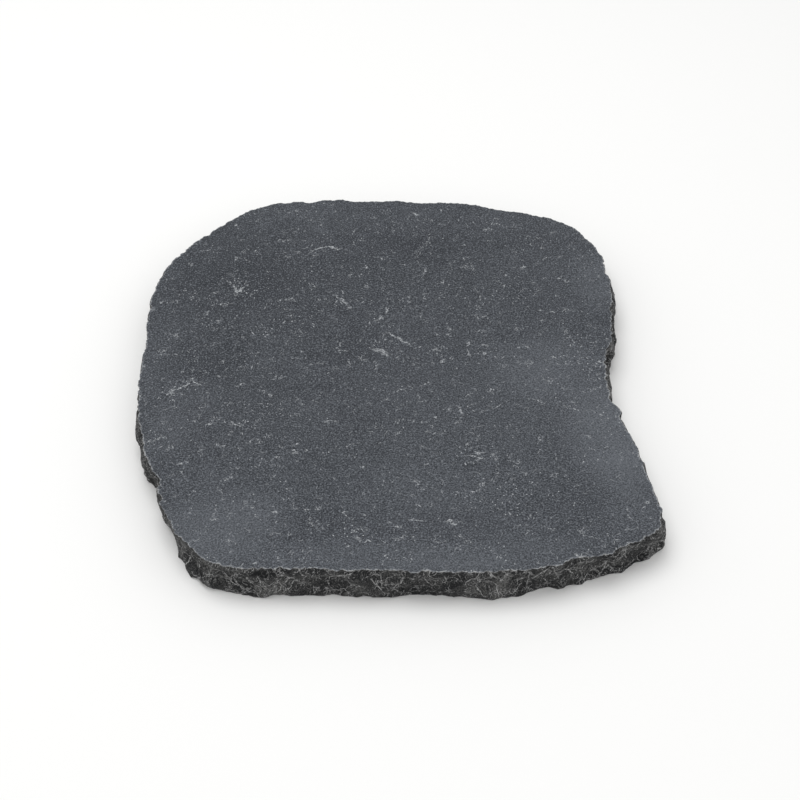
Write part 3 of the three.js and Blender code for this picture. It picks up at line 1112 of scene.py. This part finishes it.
class StoneFinish(bpy.types.PropertyGroup):
    face_dark: bpy.props.FloatVectorProperty(
        name="Face, dark grain",
        description="Darkest grain of the worn faces",
        default=linear("#292C31"),
        **COLOUR,
    )
    face_pale: bpy.props.FloatVectorProperty(
        name="Face, pale grain",
        description="Palest grain of the worn faces",
        default=linear("#6A6E74"),
        **COLOUR,
    )
    fleck: bpy.props.FloatVectorProperty(
        name="Flecks",
        description="Flecks and hair-thin marks of the worn faces",
        default=linear("#B3B6B9"),
        **COLOUR,
    )
    # The split's dark and pale are its own darker colour, darkened further as painted shade of the rim's
    # upright sides.
    split_dark_shaded: bpy.props.FloatVectorProperty(
        name="Split, dark",
        description="Darkest part of a fresh scar",
        default=linear("#141517"),
        **COLOUR,
    )
    split_pale_shaded: bpy.props.FloatVectorProperty(
        name="Split, pale",
        description="Palest part of a fresh scar",
        default=linear("#5E5E5D"),
        **COLOUR,
    )
    bruise: bpy.props.FloatVectorProperty(
        name="Bruise",
        description="Crushed, chalky stone on ridges and edges",
        default=linear("#A8A8A8"),
        **COLOUR,
    )


class StoneStage(bpy.types.PropertyGroup):
    floor_colour: bpy.props.FloatVectorProperty(
        name="Floor",
        description="Colour of the floor",
        default=linear("#F5F5F4"),
        **COLOUR,
    )
    floor_size: bpy.props.FloatProperty(
        name="Floor size",
        description="Side of the square floor",
        default=14.0,
        min=1.0,
        unit="LENGTH",
    )
    ambient: bpy.props.FloatProperty(
        name="Ambient light",
        description="Strength of the even light from all round",
        default=0.74,
        min=0.0,
    )
    overhead_power: bpy.props.FloatProperty(
        name="Overhead light",
        description="Power of the soft light above, in watts",
        default=22.0,
        min=0.0,
    )
    front_power: bpy.props.FloatProperty(
        name="Front light",
        description="Power of the soft light in front, in watts",
        default=5.0,
        min=0.0,
    )
    aim: bpy.props.FloatVectorProperty(
        name="Aim",
        description="Point the camera looks at",
        default=(0.0086, -0.0155, 0.0),
        subtype="XYZ",
        unit="LENGTH",
    )
    elevation: bpy.props.FloatProperty(
        name="Elevation",
        description="Camera's angle above the ground",
        default=math.radians(41),
        subtype="ANGLE",
    )
    distance: bpy.props.FloatProperty(
        name="Distance",
        description="Distance from the camera to its aim",
        default=1.332,
        min=0.5,
        unit="LENGTH",
    )
    lens: bpy.props.FloatProperty(
        name="Focal length",
        description="Camera's focal length in millimetres",
        default=71.55,
        min=10.0,
        unit="CAMERA",
    )


class DressSlab(bpy.types.Operator):
    """Make the dressed limestone slab round the CAD stone"""

    bl_idname = "stone.dress_slab"
    bl_label = "Dress the slab"

    def execute(self, context):
        slab = build_slab(context.scene.stone_shape, context.scene.stone_finish)
        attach(slab, BODY)
        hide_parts(CAD_NODE)
        return {"FINISHED"}


class SetStage(bpy.types.Operator):
    """Lay the floor and set the lights and the camera"""

    bl_idname = "stone.set_stage"
    bl_label = "Set the stage"

    def execute(self, context):
        build_stage(context.scene.stone_stage)
        return {"FINISHED"}


class StonePanel(bpy.types.Panel):
    bl_idname = "VIEW3D_PT_stepping_stone"
    bl_label = "Stepping stone"
    bl_space_type = "VIEW_3D"
    bl_region_type = "UI"
    bl_category = "Stone"

    def draw(self, context):
        scene = context.scene
        for group, operator in (
            (scene.stone_shape, None),
            (scene.stone_finish, DressSlab),
            (scene.stone_stage, SetStage),
        ):
            for name in group.bl_rna.properties.keys():
                if name not in ("rna_type", "name"):
                    self.layout.prop(group, name)
            if operator:
                self.layout.operator(operator.bl_idname)


CLASSES = (StoneShape, StoneFinish, StoneStage, DressSlab, SetStage, StonePanel)
GROUPS = {"stone_shape": StoneShape, "stone_finish": StoneFinish, "stone_stage": StoneStage}


def register():
    for made in CLASSES:
        bpy.utils.register_class(made)
    for name, group in GROUPS.items():
        setattr(bpy.types.Scene, name, bpy.props.PointerProperty(type=group))


def unregister():
    for name in GROUPS:
        delattr(bpy.types.Scene, name)
    for made in reversed(CLASSES):
        bpy.utils.unregister_class(made)


def main():
    register()
    bpy.ops.stone.dress_slab()
    bpy.ops.stone.set_stage()


if __name__ == "__main__":
    main()
